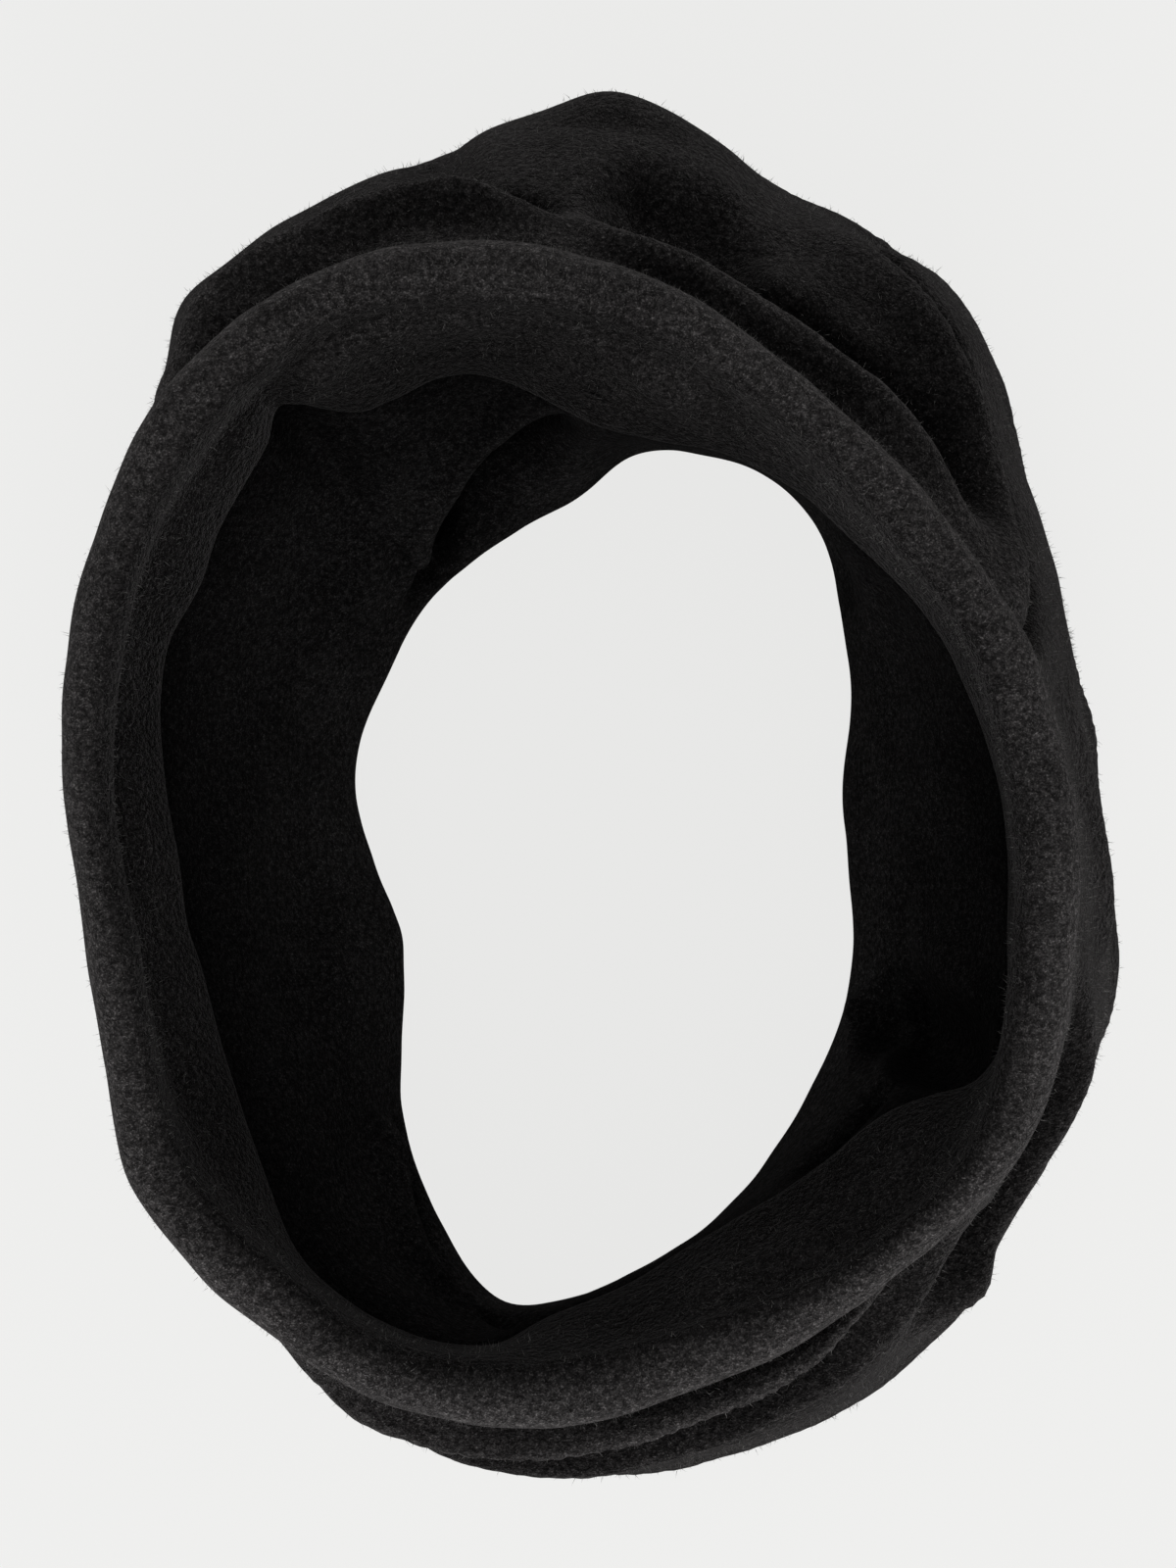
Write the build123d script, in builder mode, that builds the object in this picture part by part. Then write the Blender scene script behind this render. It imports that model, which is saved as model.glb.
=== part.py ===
from build123d import *
import os
from math import cos, radians, sin

# A fleece neck gaiter standing slouched on its lower rim. It is a doubled tube: an outer
# shell and a lining, joined at both rims by a soft rolled hem, with a hollow between them.
# The origin is on the floor under the middle of the whole gaiter. Millimetres, +Z up.

# Driving dimensions
standing_height = 115.0
cloth = 3.0
hem_width = 10.5
upper_hem_height = 10.0
lower_hem_height = 8.0
hem_rounding = 3.0

# The rings below are measured from the middle of the opening, which isn't quite under the
# middle of the whole, because the slouched body leans to one side of its upper rim.
middle_x = 2.1
middle_y = -0.7

# Back seam, where each tube's cloth is joined to itself, and the trim sewn near it
back_seam_bearing = 128.0
seam_allowance = 8.0
seam_thickness = 1.3
seam_clearance = 0.1
rim_seam_height = 4.0
rim_seam_thickness = 1.0
label_width = 25.0
label_height = 22.0
label_thickness = 0.6
label_bearing = 142.0
label_stitch_count = 6
closing_stitch_count = 9
closing_stitch_bearing = 170.0
stitch_length = 3.0
stitch_thickness = 0.7
stitch_spacing = 4.0

# Heights of the rings
upper_hem_base = standing_height - upper_hem_height
neck_height = 80.0
step_height = 86.0
belly_height = 44.0
opening_height = 34.0

# Reach of each ring from the middle of the opening, at 16 even bearings, anticlockwise
# from +X. The slouched cloth bulges more on some bearings than on others.
rim_reach = [82, 78, 77, 81, 90, 98, 98, 92, 89, 90, 104, 109, 110, 102, 98, 89]
neck_reach = [84, 83, 88, 98, 107, 104, 101, 90, 86, 88, 101, 111, 114, 108, 101, 93]
belly_reach = [90, 90, 101, 109, 121, 113, 105, 86, 79, 82, 97, 116, 122, 118, 108, 100]
foot_reach = [68, 71, 82, 87, 88, 81, 75, 64, 60, 62, 73, 98, 108, 99, 86, 76]
opening_reach = [46, 52, 60, 63, 53, 47, 43, 41, 41, 41, 48, 78, 91, 78, 63, 50]
step_reach = [71, 65, 62, 61, 62, 73, 77, 74, 73, 74, 84, 99, 95, 92, 88, 78]

hem_middle = hem_width / 2
foot_outside = [reach + hem_middle for reach in foot_reach]
foot_inside = [reach - hem_middle for reach in foot_reach]
rim_inside = [reach - hem_width for reach in rim_reach]

# Faces of the cloth, each as heights and reaches from the lower hem to the upper one
shell_face = [
    (lower_hem_height, foot_outside),
    (belly_height, belly_reach),
    (neck_height, neck_reach),
    (upper_hem_base, rim_reach),
]
lining_face = [
    (lower_hem_height, foot_inside),
    (opening_height, opening_reach),
    (step_height, step_reach),
    (upper_hem_base, rim_inside),
]


def outline(height, reaches, inset=0.0):
    """A smooth closed face through one ring, drawn in by the inset."""
    turn = 360 / len(reaches)
    points = []
    for place, reach in enumerate(reaches):
        bearing = radians(place * turn)
        points.append(((reach - inset) * cos(bearing), (reach - inset) * sin(bearing)))
    with BuildSketch(Plane((-middle_x, -middle_y, height))) as ring:
        with BuildLine():
            Spline(*points, periodic=True)
        make_face()
    return ring.sketch.face()


def skin(rings, inset=0.0):
    """The sections of one face of the cloth, for a loft."""
    return [outline(height, reaches, inset) for height, reaches in rings]


def beside(bearing, reach, height):
    """A place at a bearing and reach from the middle of the opening, turned to face it."""
    x = reach * cos(radians(bearing)) - middle_x
    y = reach * sin(radians(bearing)) - middle_y
    return Location((x, y, height), (0, 0, bearing))


def reach_at(reaches, bearing):
    """The reach of a ring between two of its bearings."""
    turn = 360 / len(reaches)
    place = int(bearing // turn)
    share = bearing / turn - place
    following = (place + 1) % len(reaches)
    return reaches[place] * (1 - share) + reaches[following] * share


os.makedirs("parts", exist_ok=True)

# Outer shell: the tube of fleece that shows outside, from hem to hem
with BuildPart() as outer_shell:
    loft(sections=skin(shell_face))
    loft(sections=skin(shell_face, cloth), mode=Mode.SUBTRACT)
outer_shell.part.label = "outer_shell"
export_step(outer_shell.part, "parts/outer_shell.step")

# Lining: the inner tube, which leans in below the upper rim and leaves the neck opening
with BuildPart() as lining:
    loft(sections=skin(lining_face, -cloth))
    loft(sections=skin(lining_face), mode=Mode.SUBTRACT)
lining.part.label = "lining"
export_step(lining.part, "parts/lining.step")

# Upper hem: the rolled top rim, where shell and lining are turned over into each other
with BuildPart() as upper_hem:
    add(outline(upper_hem_base, rim_reach))
    extrude(amount=upper_hem_height)
    add(outline(upper_hem_base, rim_inside))
    extrude(amount=upper_hem_height, mode=Mode.SUBTRACT)
    fillet(upper_hem.faces().sort_by(Axis.Z)[-1].edges(), radius=hem_rounding)
upper_hem.part.label = "upper_hem"
export_step(upper_hem.part, "parts/upper_hem.step")

# Lower hem: the rolled bottom rim, which the gaiter stands on
with BuildPart() as lower_hem:
    add(outline(0, foot_outside))
    extrude(amount=lower_hem_height)
    add(outline(0, foot_inside))
    extrude(amount=lower_hem_height, mode=Mode.SUBTRACT)
lower_hem.part.label = "lower_hem"
export_step(lower_hem.part, "parts/lower_hem.step")

# Back seams: the seam allowance of each tube, pressed flat inside the doubled wall
back_seam_base = lower_hem_height + rim_seam_height + 1
back_seam_top = upper_hem_base - rim_seam_height - 1
back_seam_length = back_seam_top - back_seam_base
back_seam_middle = (back_seam_top + back_seam_base) / 2
seam_reach = reach_at(neck_reach, back_seam_bearing)

with BuildPart() as shell_back_seam:
    loft(sections=skin(shell_face, cloth + seam_clearance))
    loft(
        sections=skin(shell_face, cloth + seam_clearance + seam_thickness),
        mode=Mode.SUBTRACT,
    )
    with Locations(beside(back_seam_bearing, seam_reach, back_seam_middle)):
        Box(seam_reach, seam_allowance, back_seam_length, mode=Mode.INTERSECT)
shell_back_seam.part.label = "shell_back_seam"
export_step(shell_back_seam.part, "parts/shell_back_seam.step")

with BuildPart() as lining_back_seam:
    loft(sections=skin(lining_face, -cloth - seam_clearance - seam_thickness))
    loft(sections=skin(lining_face, -cloth - seam_clearance), mode=Mode.SUBTRACT)
    with Locations(beside(back_seam_bearing, seam_reach, back_seam_middle)):
        Box(2 * seam_reach, seam_allowance, back_seam_length, mode=Mode.INTERSECT)
lining_back_seam.part.label = "lining_back_seam"
export_step(lining_back_seam.part, "parts/lining_back_seam.step")

# Rim seams: the joined edges of shell and lining, inside the wall along each hem
with BuildPart() as upper_rim_seam:
    add(outline(upper_hem_base, rim_reach, hem_middle - rim_seam_thickness / 2))
    extrude(amount=-rim_seam_height)
    add(outline(upper_hem_base, rim_reach, hem_middle + rim_seam_thickness / 2))
    extrude(amount=-rim_seam_height, mode=Mode.SUBTRACT)
upper_rim_seam.part.label = "upper_rim_seam"
export_step(upper_rim_seam.part, "parts/upper_rim_seam.step")

with BuildPart() as lower_rim_seam:
    add(outline(lower_hem_height, foot_reach, -rim_seam_thickness / 2))
    extrude(amount=rim_seam_height)
    add(outline(lower_hem_height, foot_reach, rim_seam_thickness / 2))
    extrude(amount=rim_seam_height, mode=Mode.SUBTRACT)
lower_rim_seam.part.label = "lower_rim_seam"
export_step(lower_rim_seam.part, "parts/lower_rim_seam.step")

# Closing stitches: a short row on the inner side of the lower hem, where the gap that the
# gaiter was turned through is sewn shut
closing_height = lower_hem_height / 2
closing_turn = 360 / (2 * 3.1416 * reach_at(foot_inside, closing_stitch_bearing)) * stitch_spacing
with BuildPart() as closing_stitches:
    for place in range(closing_stitch_count):
        bearing = closing_stitch_bearing + place * closing_turn
        stitch_reach = reach_at(foot_inside, bearing) - 2 * stitch_thickness
        with Locations(beside(bearing, stitch_reach, closing_height)):
            Box(stitch_thickness, stitch_length, stitch_thickness)
closing_stitches.part.label = "closing_stitches"
export_step(closing_stitches.part, "parts/closing_stitches.step")

# Care label: a blank tab sewn in just above the lower hem, under the lean of the lining
label_base = lower_hem_height + 1
label_middle = label_base + label_height / 2
label_reach = reach_at(foot_inside, label_bearing)
with BuildPart() as care_label:
    loft(sections=skin(lining_face, seam_clearance))
    loft(sections=skin(lining_face, seam_clearance + label_thickness), mode=Mode.SUBTRACT)
    with Locations(beside(label_bearing, label_reach, label_middle)):
        Box(label_reach, label_width, label_height, mode=Mode.INTERSECT)
care_label.part.label = "care_label"
export_step(care_label.part, "parts/care_label.step")

# Label stitches: one row along the foot of the label
stitch_inset = 2 * seam_clearance + label_thickness
stitch_row_width = (label_stitch_count - 1) * stitch_spacing
with BuildPart() as care_label_stitches:
    with Locations(beside(label_bearing, label_reach, label_base + 2 * stitch_thickness)):
        with GridLocations(0, stitch_spacing, 1, label_stitch_count):
            Box(label_reach, stitch_length, stitch_thickness)
    loft(sections=skin(lining_face, stitch_inset), mode=Mode.INTERSECT)
    loft(sections=skin(lining_face, stitch_inset + stitch_thickness), mode=Mode.SUBTRACT)
care_label_stitches.part.label = "care_label_stitches"
export_step(care_label_stitches.part, "parts/care_label_stitches.step")
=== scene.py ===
import math

import bpy
import numpy as np
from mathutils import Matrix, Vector, noise


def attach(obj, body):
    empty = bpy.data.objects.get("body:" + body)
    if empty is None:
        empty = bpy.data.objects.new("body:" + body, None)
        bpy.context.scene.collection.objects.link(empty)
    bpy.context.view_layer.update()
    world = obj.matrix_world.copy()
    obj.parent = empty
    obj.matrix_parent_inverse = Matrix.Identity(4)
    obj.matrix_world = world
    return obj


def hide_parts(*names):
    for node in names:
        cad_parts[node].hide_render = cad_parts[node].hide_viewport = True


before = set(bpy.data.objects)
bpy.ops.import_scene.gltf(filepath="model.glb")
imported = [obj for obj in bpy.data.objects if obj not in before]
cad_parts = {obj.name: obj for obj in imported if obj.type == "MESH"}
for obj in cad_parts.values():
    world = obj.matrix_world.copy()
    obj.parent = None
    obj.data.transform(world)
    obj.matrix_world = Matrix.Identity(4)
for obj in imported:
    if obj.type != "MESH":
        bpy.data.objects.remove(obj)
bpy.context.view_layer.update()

# Lengths here are millimetres until a mesh is made. Bearings are degrees, anticlockwise
# from +X, round the middle of the gaiter, which is where the CAD model has it.
MM = 0.001
MIDDLE = Vector((-2.1, 0.7, 0.0))
HEM_WIDTH = 10.5
CLOTH = 2.6
BACK_SEAM = 128.0

# Rings, as (bearing, reach) where the shape turns. FOOT has the values of the CAD model's own
# ring. RIM, BELLY and OPENING have more places than its rings of 16.
RIM = [
    (0, 81.7), (20, 78.0), (40, 75.4), (60, 78.0), (80, 85.6), (100, 93.4), (118, 98.3),
    (135, 98.4), (160, 91.7), (180, 88.8), (197, 88.8), (210, 94.9), (221, 103.2),
    (231, 106.4), (240, 108.0), (252, 110.2), (268, 108.8), (280, 104.8), (300, 99.0),
    (320, 96.2), (340, 87.0),
]
# The inner side of the roll of the rim
RIM_INSIDE = [
    (0, 71.2), (20, 67.5), (40, 64.6), (60, 67.7), (80, 74.4), (100, 82.0), (118, 87.8),
    (140, 87.0), (160, 82.8), (180, 79.8), (200, 80.8), (210, 84.1), (222, 91.8), (240, 96.8),
    (252, 99.9), (264, 97.6), (275, 93.6), (300, 90.2), (320, 86.4), (340, 76.8),
]
# The widest part of the shell
BELLY = [
    (0, 89.6), (20, 91.2), (30, 94.0), (40, 98.6), (50, 107.0), (56, 110.6), (62, 112.4),
    (70, 110.6), (80, 118.2), (88, 121.0), (100, 117.6), (112, 115.0), (127, 111.0),
    (140, 101.0), (160, 88.0), (180, 84.5), (200, 86.5), (220, 98.0), (240, 110.4),
    (255, 117.6), (270, 122.8), (285, 121.5), (300, 115.5),
    (308, 109.0), (320, 103.5), (330, 102.8), (340, 98.6),
]
# The middle of the lower hem, which the gaiter stands on
FOOT = [
    (0, 68), (22, 71), (45, 82), (68, 87), (90, 88), (112, 81), (135, 75), (158, 64),
    (180, 60), (202, 62), (225, 73), (248, 98), (270, 108), (292, 99), (315, 86), (338, 76),
]
# The narrowest part of the lining, which bounds the opening
OPENING = [
    (0, 45.6), (20, 50.5), (35, 55.6), (50, 63.0), (70, 64.2), (82, 60.8), (90, 53.5),
    (105, 47.9), (130, 43.9), (150, 41.4), (170, 41.7), (190, 41.5), (200, 41.1), (213, 42.0),
    (222, 44.8), (231, 53.6), (240, 67.4), (251, 83.3), (261, 94.6), (266, 94.2), (275, 89.4),
    (290, 79.5), (305, 69.5), (320, 61.0), (340, 50.2),
]
# The lower edge of the deep turn-in below the rim, scalloped where its folds hang
TURN_IN = [
    (0, 70.6), (15, 67.2), (30, 64.0), (40, 62.0), (55, 61.8), (70, 61.6), (80, 60.6),
    (90, 62.4), (98, 67.7), (102, 70.8), (106, 73.4), (110, 74.3), (117, 74.0), (122, 75.2),
    (126, 80.0), (128.5, 84.0), (133, 80.6), (138, 78.8), (145, 77.4), (152, 75.2), (162, 76.0),
    (170, 74.8), (180, 72.8), (190, 71.8), (199, 73.0), (207, 73.8), (215, 77.2), (225, 83.0),
    (232, 88.3), (239, 94.8), (245, 97.8), (251, 99.2), (257, 99.3), (261, 97.6), (265, 93.0),
    (272, 87.8), (280, 82.4), (288, 79.0), (296, 77.4), (303, 76.6), (308, 75.8),
    (313, 76.4), (318, 79.6), (322, 83.4), (326, 84.2), (332, 81.6), (340, 76.8), (350, 73.0),
]
# How far the lining stands back behind the lower edge of the turn-in
UNDERCUT = [
    (0, 4.0), (45, 4.0), (75, 5.0), (100, 8.0), (130, 9.0), (150, 7.5), (170, 5.5), (195, 5.5),
    (215, 8.0), (232, 9.0), (252, 7.0), (263, 3.0), (285, 6.0), (305, 8.0), (316, 6.0),
    (324, 4.0), (340, 4.0),
]
# How far the turn-in stands back under the roll of the rim
TUCK = [
    (0, 1.6), (30, 1.4), (60, 0.3), (130, 0.2), (145, 2.2), (160, 3.4), (205, 3.4), (225, 1.2),
    (250, 0.3), (310, 0.3), (330, 1.4),
]
# How far the cloth stands in behind the roll of the rim
NECK = [
    (0, 3.0), (40, 1.8), (62, 2.4), (100, 2.0), (130, 1.6), (200, 1.6), (240, 1.6), (280, 2.4),
    (320, 3.4), (345, 3.8),
]
# The height of the top of the rim
CREST = [(0, 113), (40, 112), (90, 109), (135, 112), (180, 114), (240, 113), (270, 112), (315, 114)]

# Folds of the slouched cloth. Each follows its path and stands out by its rise, or sinks in
# where that is below 0. A fold with a hollow falls steeply into it on its upper side, 1, or
# its lower side, -1, and fades out over soft times its width on the other. The hollow is as
# wide as spread.
# A path is (bearing, height) places, or with seen, (bearing, reach) places as they look from
# straight above. One that is turned_in lies on the inner side of the rim.
SHELL_FOLDS = [
    # behind the rim, at the back right
    dict(seen=[(95, 106), (92, 100), (88, 94.5), (84, 91.8), (79, 89.8), (74, 87.4), (69, 85.4),
               (63, 83.8), (57, 82.6), (51, 81.6), (45, 80.6), (39, 79.9), (33, 79.4), (27, 79.2)],
         rise=5.5, width=4.0, hollow=8.5, side=-1, spread=5.0, soft=0.9),
    dict(seen=[(90, 105), (83, 101.5), (76, 98), (69, 94.5)], rise=-8.0, width=9.0),
    dict(seen=[(73, 109), (67, 105.5), (61, 101.8), (56, 98.6), (51, 95.2), (46, 91.6), (41, 88),
               (36, 84.8), (31, 82.4), (25, 80.8), (19, 79.8), (13, 80)],
         rise=6.0, width=5.5, hollow=10.0, side=-1, spread=3.6, soft=1.5),
    dict(path=[(88, 60), (87, 40), (87, 22)], rise=3.0, width=8.0),
    dict(path=[(64, 52), (62, 40), (60, 22)], rise=-3.0, width=6.0),
    dict(path=[(103, 84), (104, 70), (104, 55), (103, 30)], rise=-4.0, width=5.0),
    # a puffed fold at the back left
    dict(seen=[(142, 98), (135, 100.4), (128, 101.8), (120, 102), (113, 102), (107, 101.6),
               (101, 100.2), (95, 97.6), (90, 95)],
         rise=8.0, width=5.0, hollow=5.5, side=-1, spread=3.5, soft=0.9),
    dict(seen=[(137, 97), (130, 99.6), (124, 99.9), (118, 99.3), (113, 98.4)], rise=-2.2, width=2.6),
    dict(path=[(130, 70), (130, 50), (131, 30)], rise=2.5, width=7.0),
    # front
    dict(path=[(236, 86), (244, 89), (252, 91), (262, 92), (274, 93), (286, 95), (298, 98),
               (308, 101)],
         rise=6.5, width=4.5, hollow=7.0, side=-1, spread=3.2, soft=0.7),
    dict(path=[(243, 66), (252, 68), (261, 71), (272, 74), (283, 77), (294, 80), (305, 84),
               (314, 88)],
         rise=6.5, width=5.5, hollow=14.0, side=-1, spread=5.5, soft=0.8),
    dict(path=[(268, 88), (278, 87), (288, 88), (298, 90), (308, 93), (316, 95)], rise=-3.0, width=4.0),
    dict(seen=[(334, 93), (327, 96.5), (319, 100), (311, 102.8), (303, 104)], rise=-4.5, width=4.5),
    dict(seen=[(326, 100), (318, 102.5), (310, 105), (303, 107.5)], rise=2.5, width=5.0),
    dict(path=[(306, 66), (306, 45), (305, 24)], rise=2.5, width=6.0),
    dict(path=[(344, 84), (326, 68), (312, 60), (298, 52)],
         rise=3.5, width=5.0, hollow=4.0, side=1, spread=3.0),
    # left and right sides
    dict(path=[(206, 72), (180, 62), (160, 60), (146, 52)],
         rise=3.5, width=6.0, hollow=4.0, side=-1, spread=4.0),
    dict(path=[(240, 50), (220, 46), (196, 38), (172, 34)],
         rise=4.0, width=7.0, hollow=4.0, side=-1, spread=4.0),
    dict(path=[(20, 34), (0, 30), (340, 32), (325, 26)],
         rise=3.5, width=6.0, hollow=4.0, side=-1, spread=4.0),
    dict(path=[(14, 80), (2, 70), (350, 62), (338, 58)],
         rise=3.0, width=5.0, hollow=3.5, side=-1, spread=3.0),
    dict(path=[(86, 30), (66, 26), (45, 30), (32, 38)],
         rise=3.0, width=6.0, hollow=4.0, side=-1, spread=4.0),
    dict(path=[(262, 34), (282, 28), (302, 34), (320, 44)],
         rise=3.0, width=6.0, hollow=4.0, side=-1, spread=4.0),
    # the turn-in below the rim
    dict(seen=[(150, 84), (139, 86.5), (131, 88), (122, 88.5)], turned_in=True, rise=-1.0, width=3.0),
    dict(seen=[(133, 82), (126, 84), (118, 86), (108, 85)], turned_in=True, rise=1.2, width=3.0),
    dict(seen=[(118, 79), (108, 79.5), (98, 77), (88, 72)], turned_in=True, rise=-1.2, width=4.0),
    dict(seen=[(92, 76), (84, 72), (76, 69), (66, 67)], turned_in=True, rise=1.3, width=3.0),
    dict(seen=[(60, 71), (50, 68), (42, 67)], turned_in=True, rise=-1.0, width=3.0),
    dict(seen=[(300, 89), (290, 88), (278, 92)], turned_in=True, rise=0.8, width=4.0),
]
LINING_FOLDS = [
    # a slanting fold at the back left, with a deep panel on its opening side
    dict(seen=[(92, 67), (98, 66), (103, 64), (108, 61.8), (113, 58.6), (118, 54.8), (124, 51),
               (131, 48.2), (138, 46)],
         rise=5.0, width=4.0, hollow=7.0, side=-1, spread=3.0, soft=1.1),
    dict(seen=[(90, 60), (99, 58.5), (106, 55.5), (112, 52.4), (118, 49.5), (124, 47)],
         rise=-7.0, width=7.0),
    dict(seen=[(116, 70), (124, 63), (131, 57), (140, 51.5), (150, 47.5)], rise=2.2, width=6.0),
    # a crease beside the opening at the front left
    dict(seen=[(238.5, 66), (240.5, 69), (243.4, 75), (247, 82), (251.5, 88.9), (256.4, 93.2),
               (261, 97)],
         rise=4.0, width=3.4, hollow=6.0, side=-1, spread=3.0, soft=1.4),
    # the pit at the front right, and the panels that crowd together beside it
    dict(seen=[(322, 60), (322.5, 66), (323, 72), (323.5, 79), (324.5, 86)], rise=-8.0, width=6.0),
    dict(seen=[(335, 60), (334, 66), (331, 76), (328, 85)], rise=2.0, width=5.0),
    dict(seen=[(323, 58.5), (320, 61), (316.5, 64.5), (312, 69)], rise=2.6, width=2.0),
    dict(seen=[(328, 61.5), (324, 64.5), (320, 68), (316, 72), (312.5, 76.5)], rise=2.2, width=2.0),
    dict(seen=[(316, 72.5), (306, 74.5), (296, 76)], rise=-6.0, width=4.0),
    # soft pleats on the right
    dict(path=[(20, 72), (6, 62), (352, 52), (340, 44)], rise=1.4, width=9.0),
    dict(path=[(50, 74), (36, 60), (24, 46)], rise=1.6, width=8.0),
    dict(path=[(60, 60), (44, 46), (32, 36)], rise=-1.8, width=7.0),
    # the left wall
    dict(path=[(204, 74), (190, 62), (176, 52), (164, 46)], rise=1.6, width=10.0),
    dict(path=[(220, 66), (208, 52), (198, 40)], rise=-1.6, width=9.0),
]
# The heights between which the places of a fold are looked for: by their height, then by
# their reach on the shell and on the lining, and the least height for one that is turned in
WALL = (2, 108)
SHELL_SLOPE = (40, 110)
LINING_SLOPE = (22, 80)
TURN_IN_FOOT = 90
# The camera's height, and the height at which a reach looks as large as it is
EYE = 1300
TRUE_LEVEL = 79
# How finely a path is read, how many steps each side round off its corners, and the share
# of it over which a fold rises from nothing at each end
PATH_STEPS = 10
ROUNDING = 4
TAPER = 0.3
# A fold is worked out as far as FOLD_REACH of its widths and its hollow's from its path. Its
# steep side is STEEP of its widths wide. The middle of its hollow is HOLLOW_START of the
# fold's widths and HOLLOW_CLEAR of the hollow's from the path.
FOLD_REACH = 3
STEEP = 0.6
HOLLOW_START = 0.5
HOLLOW_CLEAR = 1.1
# The cloth's own waviness, as (size, rise, seed) of each ripple
RIPPLES = [(30, 1.2, 3.1), (10, 0.45, 8.7)]
# Folds fade out over these rows beside a cut edge, and over this height above the floor
EDGE_ROWS = 10
RESTING_HEIGHT = 9
# The least height of the hidden back of the cloth
BACK_CLEARANCE = 0.6
# The grid of each cloth, and how many of its steps one step of its hidden back takes
COLUMNS = 560
SHELL_ROWS = 161
LINING_ROWS = 97
BACK_STEP = 4
# The height in metres that the stops of a painted height-shade ramp run over
DEPTH_RANGE = 0.125
# Loose fibre ends: how far they stand out, half their thickness, and how deep they start
FIBRE_LENGTH = (0.4, 1.3)
FIBRE_WIDTH = 0.05
FIBRE_ROOT = 0.35


def around(ring, bearings):
    """A smooth closed curve through (bearing, reach) pairs, read at the bearings."""
    at = np.array([b for b, _ in ring], float)
    reach = np.array([r for _, r in ring], float)
    at = np.concatenate([at[-2:] - 360, at, at[:3] + 360])
    reach = np.concatenate([reach[-2:], reach, reach[:3]])
    gap = np.diff(at)
    slope = np.diff(reach) / gap
    tangent = np.zeros_like(reach)
    tangent[1:-1] = (slope[:-1] * gap[1:] + slope[1:] * gap[:-1]) / (gap[:-1] + gap[1:])
    cell = np.clip(np.searchsorted(at, bearings, side="right") - 1, 1, len(gap) - 2)
    u = (bearings - at[cell]) / gap[cell]
    return (
        reach[cell] * (1 + 2 * u) * (1 - u) ** 2
        + tangent[cell] * gap[cell] * u * (1 - u) ** 2
        + reach[cell + 1] * u**2 * (3 - 2 * u)
        + tangent[cell + 1] * gap[cell] * u**2 * (u - 1)
    )


def along(stations, rows):
    """Even rows of a smooth curve through stations, an array of (station, column, 2)."""
    gap = np.sqrt(np.linalg.norm(np.diff(stations, axis=0), axis=2).mean(1))
    knots = np.concatenate([[0], np.cumsum(gap)])
    slope = np.diff(stations, axis=0) / gap[:, None, None]
    tangent = np.empty_like(stations)
    tangent[0] = slope[0]
    tangent[-1] = slope[-1]
    before = gap[:-1, None, None]
    after = gap[1:, None, None]
    tangent[1:-1] = (slope[:-1] * after + slope[1:] * before) / (before + after)

    def at(places):
        cell = np.clip(np.searchsorted(knots, places, side="right") - 1, 0, len(gap) - 1)
        step = gap[cell][:, None, None]
        u = ((places - knots[cell]) / gap[cell])[:, None, None]
        return (
            stations[cell] * (1 + 2 * u) * (1 - u) ** 2
            + tangent[cell] * step * u * (1 - u) ** 2
            + stations[cell + 1] * u**2 * (3 - 2 * u)
            + tangent[cell + 1] * step * u**2 * (u - 1)
        )

    fine = np.linspace(0, knots[-1], 8 * rows)
    length = np.linalg.norm(np.diff(at(fine), axis=0), axis=2).mean(1)
    length = np.concatenate([[0], np.cumsum(length)])
    return at(np.interp(np.linspace(0, length[-1], rows), length, fine))


def mix(first, second, share):
    """The value a share of the way from the first to the second."""
    return first * (1 - share) + second * share


BEARINGS = np.arange(COLUMNS) * 360 / COLUMNS
rim = around(RIM, BEARINGS)
rim_in = around(RIM_INSIDE, BEARINGS)
belly = around(BELLY, BEARINGS)
foot = around(FOOT, BEARINGS)
opening = around(OPENING, BEARINGS)
turn_in = around(TURN_IN, BEARINGS)
crest = around(CREST, BEARINGS)
undercut = around(UNDERCUT, BEARINGS)
tuck = around(TUCK, BEARINGS)
neck = around(NECK, BEARINGS)
HALF_HEM = HEM_WIDTH / 2
foot_out = foot + HALF_HEM
foot_in = foot - HALF_HEM
level = np.ones(COLUMNS)

# Sections of the two tubes, as (reach, height) of each station
shell_stations = [
    (foot_in + 1.0, 3.4 * level),
    (foot_in + 1.6, 1.2 * level),
    (foot, 0.0 * level),
    (foot_out - 1.2, 1.2 * level),
    (foot_out, 5.0 * level),
    (mix(foot_out, belly, 0.55), 13.0 * level),
    (mix(foot_out, belly, 0.9), 27.0 * level),
    (belly, 44.0 * level),
    (mix(belly, rim, 0.22), 61.0 * level),
    (mix(belly, rim, 0.62), 79.0 * level),
    (mix(belly, rim, 0.9) - 0.3 * neck, crest - 17.5),
    (rim - neck, crest - 12.5),
    (rim - 0.45 - 0.2 * neck, crest - 8.5),
    (rim, crest - 5),
    (rim - 1.7, crest - 1.3),
    (mix(rim, rim_in, 0.5), crest),
    (rim_in + 1.7, crest - 1.5),
    (rim_in + 0.2, crest - 5.5),
    (mix(rim_in, turn_in, 0.3) + tuck, crest - 10.5),
    (mix(rim_in, turn_in, 0.74) + 0.5 * tuck, crest - 17.5),
    (turn_in, crest - 24),
    (turn_in + 1.2, crest - 27.2),
    (turn_in + 4.5, crest - 26.6),
]
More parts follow.
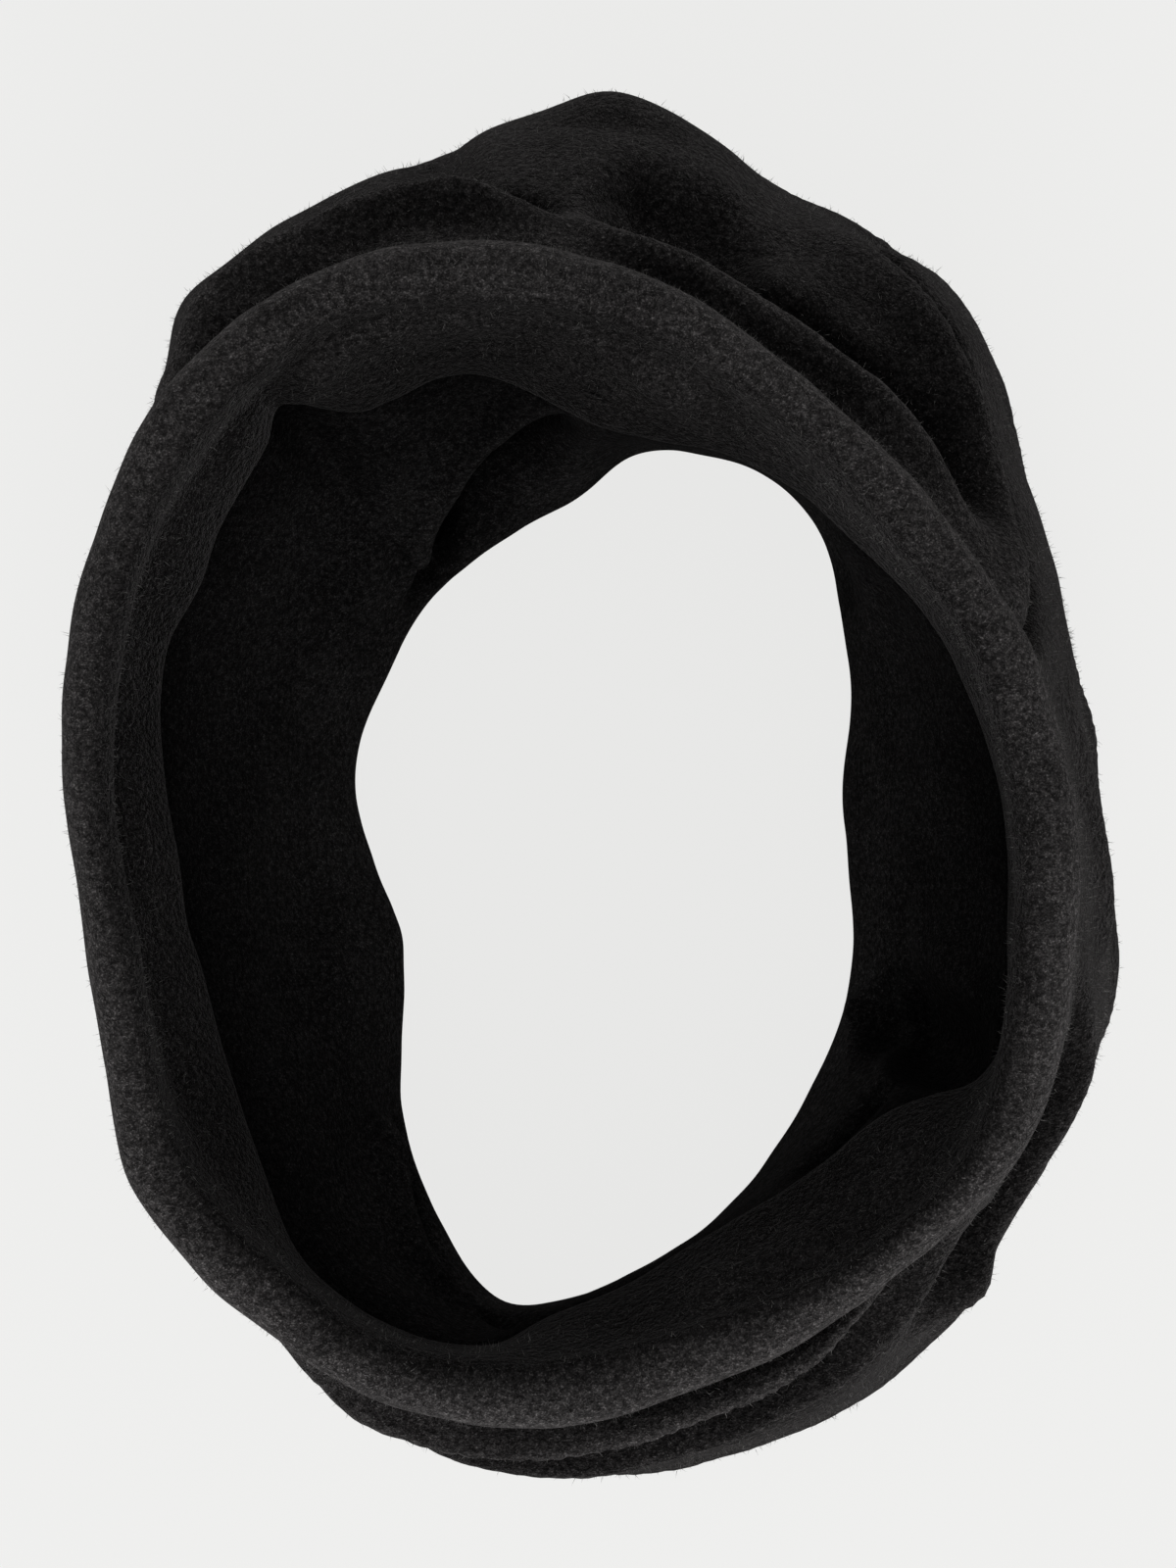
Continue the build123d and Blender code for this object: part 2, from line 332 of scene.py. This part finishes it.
lining_stations = [
    (turn_in + 6.5, crest - 22.0),
    (turn_in + 6.6, crest - 27.0),
    (turn_in + 2.4 + 0.5 * undercut, crest - 31.5),
    (turn_in - 0.5 + 0.3 * undercut, crest - 34.5),
    (mix(turn_in, opening, 0.16), crest - 43.5),
    (mix(turn_in, opening, 0.45), 55.0 * level),
    (mix(turn_in, opening, 0.8), 40.0 * level),
    (opening, 26.0 * level),
    (mix(opening, foot_in, 0.45), 13.0 * level),
    (foot_in + 0.4, 5.2 * level),
    (foot_in + 2.6, 4.0 * level),
]


def section(stations, rows):
    """The section of a tube at every column, as a (row, column, 2) grid."""
    return along(np.array(stations).transpose(0, 2, 1), rows)


def smoothed(values, reach):
    """A running mean over reach values each side."""
    width = 2 * reach + 1
    return np.convolve(np.pad(values, reach, mode="edge"), np.ones(width) / width, "valid")


def smooth_path(path):
    """Close places along a path with its corners rounded off: shares, bearings and values."""
    shares = np.linspace(0, 1, PATH_STEPS * len(path))
    ends = np.linspace(0, 1, len(path))
    bearing = np.unwrap([math.radians(b) for b, _ in path])
    bearing = smoothed(np.interp(shares, ends, bearing), ROUNDING)
    value = smoothed(np.interp(shares, ends, [v for _, v in path]), ROUNDING)
    return shares, bearing, value


def fold_profile(fold, distance, above):
    """How far a fold stands out at a distance from its path, above it, 1, or below it, -1."""
    width = fold["width"]
    depth = fold.get("hollow", 0.0)
    hollow_width = fold.get("spread", width)
    side = fold.get("side", 1)
    gentle = fold.get("soft", 1.0) * width
    steep = STEEP * width if depth else gentle
    half = mix(gentle, steep, 0.5 + 0.5 * above * side)
    ridge = np.exp(-((distance / half) ** 2))
    middle = HOLLOW_START * width + HOLLOW_CLEAR * hollow_width
    hollow = np.exp(-(((distance * above * side - middle) / hollow_width) ** 2))
    return fold["rise"] * ridge - depth * hollow


def fold_shift(grid, folds, slope):
    """How far each point of a (row, column, 2) section grid stands out along its normal."""
    reach, height = grid[..., 0], grid[..., 1]
    seen = reach * (EYE - TRUE_LEVEL) / (EYE - height)
    lengths = np.linalg.norm(np.diff(grid, axis=0), axis=2)
    climb = np.concatenate([np.zeros((1, COLUMNS)), np.cumsum(lengths, axis=0)])
    rising = np.sign(height[len(height) // 2, 0] - height[0, 0])
    before_crest = np.arange(len(height))[:, None] <= height.argmax(0)[None, :]
    shift = np.zeros_like(reach)
    mean_reach = reach.mean()
    for fold in folds:
        from_above = "seen" in fold
        shares, bearing, wanted = smooth_path(fold["seen"] if from_above else fold["path"])
        measure = seen if from_above else height
        low, high = slope if from_above else WALL
        columns = np.round(np.degrees(bearing) / 360 * COLUMNS).astype(int) % COLUMNS
        # how far up the section the path lies at each place
        at = []
        for column, value in zip(columns, wanted):
            wall = (height[:, column] > low) & (height[:, column] < high)
            if "turned_in" in fold:
                wall = ~before_crest[:, column] & (height[:, column] > TURN_IN_FOOT)
            elif rising > 0:
                wall &= before_crest[:, column]
            order = np.argsort(measure[wall, column], kind="stable")
            at.append(np.interp(value, measure[wall, column][order], climb[wall, column][order]))
        at = smoothed(np.array(at), ROUNDING)
        # the nearest place of the path to each point of the columns near it
        turn = np.radians(BEARINGS)[None, :, None] - bearing[None, None, :]
        across = ((turn + math.pi) % (2 * math.pi) - math.pi) * mean_reach
        margin = FOLD_REACH * fold["width"] + FOLD_REACH * fold.get("spread", fold["width"])
        near_columns = np.where(np.abs(across[0]).min(1) < margin)[0]
        across = across[:, near_columns]
        up = (climb[:, near_columns, None] - at[None, None, :]) * rising
        across = np.broadcast_to(across, up.shape)
        distance = np.hypot(across, up)
        nearest = distance.argmin(2)[..., None]
        distance, across, up = (
            np.take_along_axis(a, nearest, 2)[..., 0] for a in (distance, across, up)
        )
        nearest = nearest[..., 0]
        strength = np.clip(np.minimum(shares, 1 - shares) / TAPER, 0, 1)
        strength = (strength * strength * (3 - 2 * strength))[nearest]
        # which side of the path each point is on
        path_round = np.gradient(bearing)[nearest] * mean_reach
        path_up = np.gradient(at)[nearest] * rising
        above = (path_round * up - path_up * across) / np.hypot(path_round, path_up)
        above = np.tanh(above) * np.sign(bearing[-1] - bearing[0])
        shift[:, near_columns] += strength * fold_profile(fold, distance, above)
    return shift


def normals_of(grid):
    """Normals of a (row, column, 3) grid that closes round its columns."""
    down = np.gradient(grid, axis=0)
    round_ = np.roll(grid, -1, axis=1) - np.roll(grid, 1, axis=1)
    normal = np.cross(round_, down)
    return normal / (np.linalg.norm(normal, axis=2, keepdims=True) + 1e-12)


def stand_up(grid):
    """Turns a (row, column, 2) grid of reach and height into places, in millimetres."""
    turn = np.radians(BEARINGS)[None, :]
    x = grid[..., 0] * np.cos(turn) + MIDDLE.x
    y = grid[..., 0] * np.sin(turn) + MIDDLE.y
    return np.stack([x, y, grid[..., 1]], axis=2)


def ripple(places, size, seed):
    """Soft noise of the cloth's own waviness at each place."""
    flat = places.reshape(-1, 3) / size + seed
    values = [noise.noise(Vector(p)) for p in flat]
    return np.array(values).reshape(places.shape[:2])


def cloth_surface(stations, rows, folds, slope):
    """The visible face of a tube of cloth, and a coarser back that lies behind every hollow."""
    grid = section(stations, rows)
    places = stand_up(grid)
    normal = normals_of(places)
    shift = fold_shift(grid, folds, slope)
    shift += sum(rise * ripple(places, size, seed) for size, rise, seed in RIPPLES)
    # the cut edges stay where the two cloths meet
    edge_distance = np.minimum(np.arange(rows), rows - 1 - np.arange(rows))
    hold = np.clip(edge_distance / EDGE_ROWS, 0, 1)
    # what rests on the floor stays on it
    rest = np.clip(places[..., 2] / RESTING_HEIGHT, 0, 1)
    shift *= hold[:, None] * rest
    face = places + normal * shift[..., None]
    face[..., 2] = np.maximum(face[..., 2], 0.0)
    # the back follows the lowest that the face is within one step of the back's own grid
    lowest = shift.copy()
    for move in range(1, BACK_STEP + 1):
        for way in (-move, move):
            lowest = np.minimum(lowest, np.roll(shift, way, axis=1))
    taller = lowest.copy()
    for move in range(1, BACK_STEP + 1):
        taller[move:] = np.minimum(taller[move:], lowest[:-move])
        taller[:-move] = np.minimum(taller[:-move], lowest[move:])
    every = (slice(None, None, BACK_STEP), slice(None, None, BACK_STEP))
    back = places[every] + normal[every] * (taller[every] - CLOTH)[..., None]
    back[..., 2] = np.maximum(back[..., 2], BACK_CLEARANCE)
    return face, back


def new_piece(name, points, faces, smooth=True):
    """A mesh object made of points in millimetres."""
    mesh = bpy.data.meshes.new(name)
    mesh.from_pydata((points.reshape(-1, 3) * MM).tolist(), [], faces)
    if smooth:
        mesh.shade_smooth()
    piece = bpy.data.objects.new(name, mesh)
    bpy.context.scene.collection.objects.link(piece)
    return piece


def grid_index(rows, columns, first=0):
    """The numbers of the points of a grid, from the first on."""
    return first + np.arange(rows * columns).reshape(rows, columns)


def tube_quads(index):
    """Four-sided faces between the rows of a grid that closes round its columns."""
    ahead = np.roll(index, -1, axis=1)
    return np.stack([index[:-1], ahead[:-1], ahead[1:], index[1:]], -1).reshape(-1, 4)


def closed_cloth(name, face, back):
    """A closed mesh: the face of the cloth, its back, and the two cut edges."""
    rows, columns = face.shape[:2]
    front = grid_index(rows, columns)
    behind = grid_index(*back.shape[:2], rows * columns)
    faces = tube_quads(front).tolist() + tube_quads(behind)[:, ::-1].tolist()
    for row, flip in ((0, False), (-1, True)):
        for column in range(back.shape[1]):
            after = (column + 1) % back.shape[1]
            span = [front[row, (column * BACK_STEP + k) % columns] for k in range(BACK_STEP + 1)]
            edge = [int(i) for i in (*span[::-1], behind[row, column], behind[row, after])]
            faces.append(edge[::-1] if flip else edge)
    points = np.concatenate([face.reshape(-1, 3), back.reshape(-1, 3)])
    return new_piece(name, points, faces)


def new_material(name):
    """A material, its nodes, its links and its shader."""
    material = bpy.data.materials.new(name)
    material.use_nodes = True
    nodes = material.node_tree.nodes
    return material, nodes, material.node_tree.links, nodes["Principled BSDF"]


def grey_ramp(nodes, links, value, stops):
    """The colour output of a ramp of greys, as (position, grey) stops, that a value drives."""
    node = nodes.new("ShaderNodeValToRGB")
    elements = node.color_ramp.elements
    for element, (position, grey) in zip(elements, (stops[0], stops[-1])):
        element.position = position
        element.color = (grey, grey, grey, 1)
    for position, grey in stops[1:-1]:
        elements.new(position).color = (grey, grey, grey, 1)
    links.new(value, node.inputs["Fac"])
    return node.outputs["Color"]


def fleece(name, colour, glow, painted_slope_shade, depth):
    """Brushed black fleece: matted pile in clumps, fine fibre specks, and a soft sheen.

    Painted shade: the slope ramp darkens its inward slopes and lightens its outward ones, the
    height ramp shades it from the floor up, over DEPTH_RANGE, and two occlusion ramps darken it
    where nearby cloth closes it in.
    """
    material, nodes, links, shader = new_material(name)
    place = nodes.new("ShaderNodeTexCoord").outputs["Object"]

    def grain(scale, detail, rough):
        node = nodes.new("ShaderNodeTexNoise")
        node.inputs["Scale"].default_value = scale
        node.inputs["Detail"].default_value = detail
        node.inputs["Roughness"].default_value = rough
        links.new(place, node.inputs["Vector"])
        return node.outputs["Fac"]

    def ramp(value, stops):
        return grey_ramp(nodes, links, value, stops)

    def occlusion_shade(distance, stops):
        """Painted shade: a ramp that is darker where the cloth within a distance closes a place in."""
        node = nodes.new("ShaderNodeAmbientOcclusion")
        node.samples = 8
        node.inputs["Distance"].default_value = distance
        return ramp(node.outputs["AO"], stops)

    def maths(operation, *values):
        node = nodes.new("ShaderNodeMath")
        node.operation = operation
        for socket, value in zip(node.inputs, values):
            if isinstance(value, (int, float)):
                socket.default_value = value
            else:
                links.new(value, socket)
        return node.outputs[0]

    clumps = grain(scale=950, detail=3, rough=0.6)
    fibres = grain(scale=2900, detail=2, rough=0.7)
    patches = grain(scale=45, detail=2, rough=0.5)
    worn = ramp(patches, [(0.3, 0.8), (0.7, 1.2)])
    matted = ramp(clumps, [(0.34, 0.5), (0.5, 0.9), (0.66, 1.75)])
    specks = ramp(fibres, [(0.36, 0.55), (0.53, 0.9), (0.64, 1.9), (0.74, 4.0)])
    # painted shade: the colour is darkened in deep hollows and in tight creases
    painted_deep_shade = occlusion_shade(0.09, [(0.02, 0.12), (0.3, 0.3), (0.6, 0.55), (0.85, 0.9), (1.0, 1.1)])
    painted_crease_shade = occlusion_shade(0.024, [(0.1, 0.12), (0.45, 0.5), (0.8, 1.0), (1.0, 1.1)])
    lit = maths("MULTIPLY", painted_crease_shade, painted_deep_shade)
    # painted shade: slopes that face in towards the middle are darkened, and those that face out are
    # lightened
    away = nodes.new("ShaderNodeVectorMath")
    away.operation = "NORMALIZE"
    links.new(place, away.inputs[0])
    facing = nodes.new("ShaderNodeVectorMath")
    facing.operation = "DOT_PRODUCT"
    links.new(away.outputs["Vector"], facing.inputs[0])
    links.new(nodes.new("ShaderNodeNewGeometry").outputs["Normal"], facing.inputs[1])
    outward = maths("MULTIPLY_ADD", facing.outputs["Value"], 0.5, 0.5)
    # painted shade: the height ramp darkens the colour by height above the floor
    split = nodes.new("ShaderNodeSeparateXYZ")
    links.new(place, split.inputs[0])
    level_share = maths("MULTIPLY", split.outputs["Z"], 1 / DEPTH_RANGE)
    painted_slope_and_height_shade = maths("MULTIPLY", ramp(outward, painted_slope_shade), ramp(level_share, depth))
    lit = maths("MULTIPLY", lit, painted_slope_and_height_shade)
    shade = maths("MULTIPLY", maths("MULTIPLY", worn, matted), maths("MULTIPLY", specks, lit))
    tint = nodes.new("ShaderNodeVectorMath")
    tint.operation = "SCALE"
    tint.inputs[0].default_value = colour
    links.new(shade, tint.inputs["Scale"])
    links.new(tint.outputs[0], shader.inputs["Base Color"])
    shader.inputs["Roughness"].default_value = 0.95
    shader.inputs["Specular IOR Level"].default_value = 0.0
    shader.inputs["Sheen Weight"].default_value = glow
    shader.inputs["Sheen Roughness"].default_value = 0.22
    shader.inputs["Sheen Tint"].default_value = (0.55, 0.53, 0.53, 1)
    height = maths("ADD", clumps, maths("MULTIPLY", fibres, 0.35))
    bump = nodes.new("ShaderNodeBump")
    bump.inputs["Strength"].default_value = 0.9
    bump.inputs["Distance"].default_value = 0.0012
    links.new(height, bump.inputs["Height"])
    links.new(bump.outputs["Normal"], shader.inputs["Normal"])
    return material


def floor_material():
    """A pale table that is lit from within, as in a product picture."""
    material, _, _, shader = new_material("floor")
    shader.inputs["Base Color"].default_value = (0.15, 0.15, 0.148, 1)
    shader.inputs["Roughness"].default_value = 0.9
    shader.inputs["Specular IOR Level"].default_value = 0.1
    shader.inputs["Emission Color"].default_value = (1.0, 1.0, 0.99, 1)
    shader.inputs["Emission Strength"].default_value = 0.79
    return material


def dress(piece, material, slot, *nodes):
    """Gives a piece its material, and says which CAD nodes it replaces. The slot is not used."""
    piece.data.materials.append(material)
    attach(piece, "root")
    if nodes:
        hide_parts(*nodes)


# painted shade: the shell's slope ramp darkens its inward slopes and lightens its outward ones, and its
# height ramp darkens the cloth below the roll of the rim to about half
shell_fleece = fleece(
    "shell_fleece",
    colour=(0.0335, 0.0316, 0.0316),
    glow=0.26,
    painted_slope_shade=[(0.0, 0.3), (0.35, 0.36), (0.5, 0.5), (0.65, 0.8), (0.82, 1.15), (1.0, 1.5)],
    depth=[(0.0, 0.5), (0.3, 0.42), (0.68, 0.45), (0.8, 0.9), (0.86, 1.0)],
)
# painted shade: the lining is the shell's fleece made a little darker and duller for the inside of the
# tube, and its height ramp darkens its top under the turn-in
lining_fleece = fleece(
    "lining_fleece",
    colour=(0.030, 0.0288, 0.029),
    glow=0.05,
    painted_slope_shade=[(0.0, 1.0), (1.0, 1.0)],
    depth=[(0.0, 1.0), (0.3, 1.0), (0.45, 0.62), (0.6, 0.3), (0.7, 0.2)],
)

shell_face, shell_back = cloth_surface(shell_stations, SHELL_ROWS, SHELL_FOLDS, SHELL_SLOPE)
lining_face, lining_back = cloth_surface(lining_stations, LINING_ROWS, LINING_FOLDS, LINING_SLOPE)
shell = closed_cloth("shell", shell_face, shell_back)
dress(shell, shell_fleece, "shell_fleece", "outer_shell", "upper_hem", "lower_hem")
lining = closed_cloth("inner_lining", lining_face, lining_back)
dress(lining, lining_fleece, "lining_fleece", "lining")


def grid_mesh(name, front, back):
    """A closed slab between two (row, column, 3) grids."""
    rows, columns = front.shape[:2]
    index = grid_index(rows, columns)
    corners = [index[:-1, :-1], index[1:, :-1], index[1:, 1:], index[:-1, 1:]]
    quads = np.stack(corners, -1).reshape(-1, 4)
    border = np.concatenate([index[0, :-1], index[:-1, -1], index[-1, :0:-1], index[:0:-1, 0]])
    after = np.roll(border, -1)
    count = rows * columns
    sides = np.stack([border, after, after + count, border + count], -1)
    faces = np.concatenate([quads, quads[:, ::-1] + count, sides])
    points = np.concatenate([front.reshape(-1, 3), back.reshape(-1, 3)])
    return new_piece(name, points, faces.tolist())


def joined(name, parts):
    """One piece made of several closed solids."""
    bpy.ops.object.select_all(action="DESELECT")
    for part in parts:
        part.select_set(True)
    bpy.context.view_layer.objects.active = parts[0]
    bpy.ops.object.join()
    parts[0].name = name
    parts[0].data.name = name
    return parts[0]


def thread(name, path, thickness, sides=8):
    """A closed strand of thread along a short path, drawn in at its ends."""
    path = np.array(path, float)
    count = len(path)
    forward = np.gradient(path, axis=0)
    forward /= np.linalg.norm(forward, axis=1, keepdims=True)
    # near upright, which no stitch is
    up = np.array([0.3, 0.2, 0.93])
    across = np.cross(forward, up)
    across /= np.linalg.norm(across, axis=1, keepdims=True)
    lift = np.cross(across, forward)
    share = np.linspace(-1, 1, count)
    radius = thickness / 2 * np.sqrt(np.clip(1 - np.abs(share) ** 6, 0.12, 1))
    turn = (np.arange(sides) * 2 * math.pi / sides)[None, :, None]
    ring = across[:, None] * np.cos(turn) + lift[:, None] * np.sin(turn)
    points = path[:, None] + ring * radius[:, None, None]
    index = grid_index(count, sides)
    ends = [index[0, ::-1].tolist(), index[-1].tolist()]
    return new_piece(name, points, tube_quads(index).tolist() + ends)


# The back seams: the heights they run between, half their width in columns, how many of the
# cloth's rows one of theirs takes, and their gap behind the cloth
SEAM_SPAN = (16, 78)
SEAM_REACH = 4
SEAM_STEP = 4
SEAM_GAP = 0.15


def seam_allowance(name, face, outer):
    """The pressed-open edges of a tube's own seam, on the hidden side of its cloth."""
    middle = round(BACK_SEAM / 360 * COLUMNS)
    columns = np.arange(middle - SEAM_REACH, middle + SEAM_REACH + 1)
    height = face[:, middle, 2]
    inside = (height > SEAM_SPAN[0]) & (height < SEAM_SPAN[1])
    if outer:
        inside &= np.arange(len(height)) < height.argmax()
    rows = np.where(inside)[0][::SEAM_STEP]
    patch = face[rows][:, columns]
    normal = normals_of(face)[rows][:, columns]
    thickness = 1.3 - 0.5 * np.abs(np.linspace(-1, 1, len(columns)))[None, :, None] ** 3
    near = patch - normal * (CLOTH + SEAM_GAP)
    far = patch - normal * (CLOTH + SEAM_GAP + thickness)
    return grid_mesh(name, near, far)


shell_seam = seam_allowance("shell_back_seam_allowance", shell_face, True)
dress(shell_seam, shell_fleece, "shell_fleece", "shell_back_seam")
lining_seam = seam_allowance("lining_back_seam_allowance", lining_face, False)
dress(lining_seam, lining_fleece, "lining_fleece", "lining_back_seam")


def rim_allowance(name, reach, top, bottom, half_width=0.9, sides=12):
    """The joined edges of the two cloths, a soft band that runs round inside a hem."""
    middle = (top + bottom) / 2
    half_height = np.abs(top - bottom) / 2
    turns = np.linspace(0, 2 * math.pi, sides, endpoint=False)
    rings = [(reach + half_width * math.cos(a), middle + half_height * math.sin(a)) for a in turns]
    band = stand_up(np.array(rings).transpose(0, 2, 1))
    index = grid_index(sides, COLUMNS)
    below = np.roll(index, -1, axis=0)
    ahead = np.roll(index, -1, axis=1)
    faces = np.stack([index, ahead, np.roll(below, -1, axis=1), below], -1).reshape(-1, 4)
    return new_piece(name, band, faces.tolist())


upper_allowance = rim_allowance(
    "upper_rim_allowance", reach=turn_in + 5.2, top=crest - 16.5, bottom=crest - 21.5
)
dress(upper_allowance, lining_fleece, "lining_fleece", "upper_rim_seam")
lower_allowance = rim_allowance(
    "lower_rim_allowance", reach=foot, top=4.6 * level, bottom=9.5 * level
)
dress(lower_allowance, lining_fleece, "lining_fleece", "lower_rim_seam")


def place_on(face, bearing, height, proud):
    """A place a little off the lining's face, and the ways round it, up it and straight out."""
    column = round(bearing / 360 * COLUMNS) % COLUMNS
    row = np.abs(face[:, column, 2] - height).argmin()
    normal = normals_of(face)[row, column]
    round_ = face[row, (column + 1) % COLUMNS] - face[row, column - 1]
    round_ /= np.linalg.norm(round_)
    return face[row, column] + normal * proud, round_, np.cross(round_, normal), normal


def stitch(name, middle, way, normal, length, thickness):
    """One stitch: it rises out of the cloth, runs along it and dips back in."""
    loft = 0.35
    shares = np.linspace(-1, 1, 9)
    path = [middle + way * length / 2 * a + normal * loft * (1 - 2 * a * a) for a in shares]
    return thread(name, path, thickness)


CLOSING_START = 170
CLOSING_SPACING = 3.6
closing = []
for count in range(9):
    bearing = CLOSING_START + CLOSING_SPACING * count
    middle, way, up, normal = place_on(lining_face, bearing, height=5.0, proud=0.1)
    slant = way * 0.75 + up * 0.66
    closing.append(
        stitch(f"closing_{count}", middle, slant, normal, length=3.4, thickness=0.55)
    )
closing = joined("closing_stitch_row", closing)


def label_tape(bearing, half_turn, top, bottom):
    """The face of a blank woven tab that follows the lining and stands off it at its foot."""
    first = round((bearing - half_turn) / 360 * COLUMNS)
    last = round((bearing + half_turn) / 360 * COLUMNS)
    columns = np.arange(first, last)
    middle = columns[len(columns) // 2]
    height = lining_face[:, middle, 2]
    rows = np.where((height < top) & (height > bottom))[0]
    patch = lining_face[rows][:, columns]
    normal = normals_of(lining_face)[rows][:, columns]
    v = np.linspace(0, 1, len(rows))[:, None, None]
    u = np.linspace(0, 1, len(columns))[None, :, None]
    proud = 0.9 + 1.3 * v**2 + 0.3 * np.sin(6 * u + 3 * v)
    return patch + normal * proud, normal


LABEL_THICKNESS = 0.4
LABEL_STITCHES = 6
# How many columns the label's stitches keep from its sides, and the row that they run along
LABEL_MARGIN = 4
LABEL_ROW = 1
label_face, label_normal = label_tape(bearing=142, half_turn=13, top=21, bottom=6)
label = grid_mesh("care_label_tab", label_face, label_face - label_normal * LABEL_THICKNESS)
label_room = label_face.shape[1] - 1 - 2 * LABEL_MARGIN
label_stitches = []
for count in range(LABEL_STITCHES):
    column = LABEL_MARGIN + round(count * label_room / (LABEL_STITCHES - 1))
    middle = label_face[LABEL_ROW, column]
    way = label_face[LABEL_ROW, column + 1] - label_face[LABEL_ROW, column - 1]
    way /= np.linalg.norm(way)
    normal = label_normal[LABEL_ROW, column]
    label_stitches.append(
        stitch(f"label_{count}", middle, way, normal, length=2.6, thickness=0.45)
    )
label_stitches = joined("care_label_stitch_row", label_stitches)


def woven(name, colour, roughness, scale):
    """Tape or thread: fine ribs across a plain dyed yarn."""
    material, nodes, links, shader = new_material(name)
    place = nodes.new("ShaderNodeTexCoord").outputs["Object"]
    wave = nodes.new("ShaderNodeTexWave")
    wave.inputs["Scale"].default_value = scale
    wave.inputs["Distortion"].default_value = 1.5
    wave.inputs["Detail"].default_value = 2
    links.new(place, wave.inputs["Vector"])
    ramp = nodes.new("ShaderNodeValToRGB")
    ramp.color_ramp.elements[0].color = (*[c * 0.6 for c in colour], 1)
    ramp.color_ramp.elements[1].color = (*[c * 1.3 for c in colour], 1)
    links.new(wave.outputs["Fac"], ramp.inputs["Fac"])
    links.new(ramp.outputs["Color"], shader.inputs["Base Color"])
    shader.inputs["Roughness"].default_value = roughness
    bump = nodes.new("ShaderNodeBump")
    bump.inputs["Strength"].default_value = 0.5
    bump.inputs["Distance"].default_value = 0.0002
    links.new(wave.outputs["Fac"], bump.inputs["Height"])
    links.new(bump.outputs["Normal"], shader.inputs["Normal"])
    return material


black_thread = woven("thread", colour=(0.03, 0.03, 0.032), roughness=0.6, scale=900)
dress(closing, black_thread, "thread", "closing_stitches")
black_tape = woven("label_tape", colour=(0.05, 0.05, 0.055), roughness=0.4, scale=700)
dress(label, black_tape, "label_tape", "care_label")
dress(label_stitches, black_thread, "thread", "care_label_stitches")


def pile_fibres(face, count, seed):
    """Fibre ends that stand out of the brushed face, each a thin closed spike."""
    rng = np.random.default_rng(seed)
    rows, columns = face.shape[:2]
    # clear of the two cut edges, which are hidden
    row = rng.integers(12, rows - 14, count)
    column = rng.integers(0, columns, count)
    normal = normals_of(face)[row, column]
    loose = rng.normal(size=(count, 3))
    lean = normal * rng.uniform(0.25, 1.0, (count, 1)) + loose * 0.45
    lean /= np.linalg.norm(lean, axis=1, keepdims=True)
    keep = (lean * normal).sum(1) > 0.15
    lean, normal, row, column = lean[keep], normal[keep], row[keep], column[keep]
    across = np.cross(lean, rng.normal(size=lean.shape))
    across /= np.linalg.norm(across, axis=1, keepdims=True)
    other = np.cross(lean, across)
    length = rng.uniform(*FIBRE_LENGTH, (len(lean), 1))
    root = face[row, column] + rng.normal(size=lean.shape) * 0.3 - normal * FIBRE_ROOT
    corners = []
    for angle in (0.0, 2.1, 4.2):
        out = across * math.cos(angle) + other * math.sin(angle)
        corners.append(root + FIBRE_WIDTH * out)
    tips = root + lean * (length + FIBRE_ROOT)
    points = np.stack([*corners, tips], 1)
    first = np.arange(len(lean))[:, None] * 4
    triangles = ((0, 2, 1), (0, 1, 3), (1, 2, 3), (2, 0, 3))
    faces = np.concatenate([first + np.array(triangle) for triangle in triangles])
    return new_piece("pile_fibres", points, faces.tolist(), smooth=False)


fibres = pile_fibres(shell_face, count=40000, seed=11)
# painted highlight: the fibre ends are pale grey, far lighter than the black fleece, where they catch
# the light
fibre_highlight = woven("loose_fibres", colour=(0.16, 0.155, 0.15), roughness=0.7, scale=300)
dress(fibres, fibre_highlight, "shell_fleece")

# Stage: a pale floor just under the gaiter, soft light, and the camera straight above
bpy.ops.mesh.primitive_plane_add(size=6, location=(0, 0, -0.0005))
floor = bpy.context.object
floor.name = "floor"
floor.data.materials.append(floor_material())


def studio_light():
    """Softboxes all round the table: brightest at its level, and dim overhead."""
    world = bpy.data.worlds.new("studio")
    bpy.context.scene.world = world
    world.use_nodes = True
    nodes = world.node_tree.nodes
    links = world.node_tree.links
    place = nodes.new("ShaderNodeTexCoord")
    split = nodes.new("ShaderNodeSeparateXYZ")
    links.new(place.outputs["Generated"], split.inputs[0])
    stops = [(0.0, 0.8), (0.08, 0.62), (0.2, 0.36), (0.5, 0.3), (1.0, 0.3)]
    glow = grey_ramp(nodes, links, split.outputs["Z"], stops)
    links.new(glow, nodes["Background"].inputs["Color"])
    nodes["Background"].inputs["Strength"].default_value = 1.0


def soft_light(name, place, size, energy):
    """A round area light that faces the gaiter."""
    data = bpy.data.lights.new(name, "AREA")
    data.shape = "DISK"
    data.size = size
    data.energy = energy
    light = bpy.data.objects.new(name, data)
    light.location = place
    light.rotation_euler = (-Vector(place)).to_track_quat("-Z", "Y").to_euler()
    bpy.context.scene.collection.objects.link(light)


studio_light()
soft_light("key", place=(0.1, -1.4, 0.6), size=0.8, energy=11)

LENS = 161.6
camera_data = bpy.data.cameras.new("camera")
camera_data.lens = LENS
camera = bpy.data.objects.new("camera", camera_data)
camera.location = (MIDDLE.x * MM, MIDDLE.y * MM, EYE * MM)
bpy.context.scene.collection.objects.link(camera)
bpy.context.scene.camera = camera
bpy.context.scene.view_settings.view_transform = "Standard"
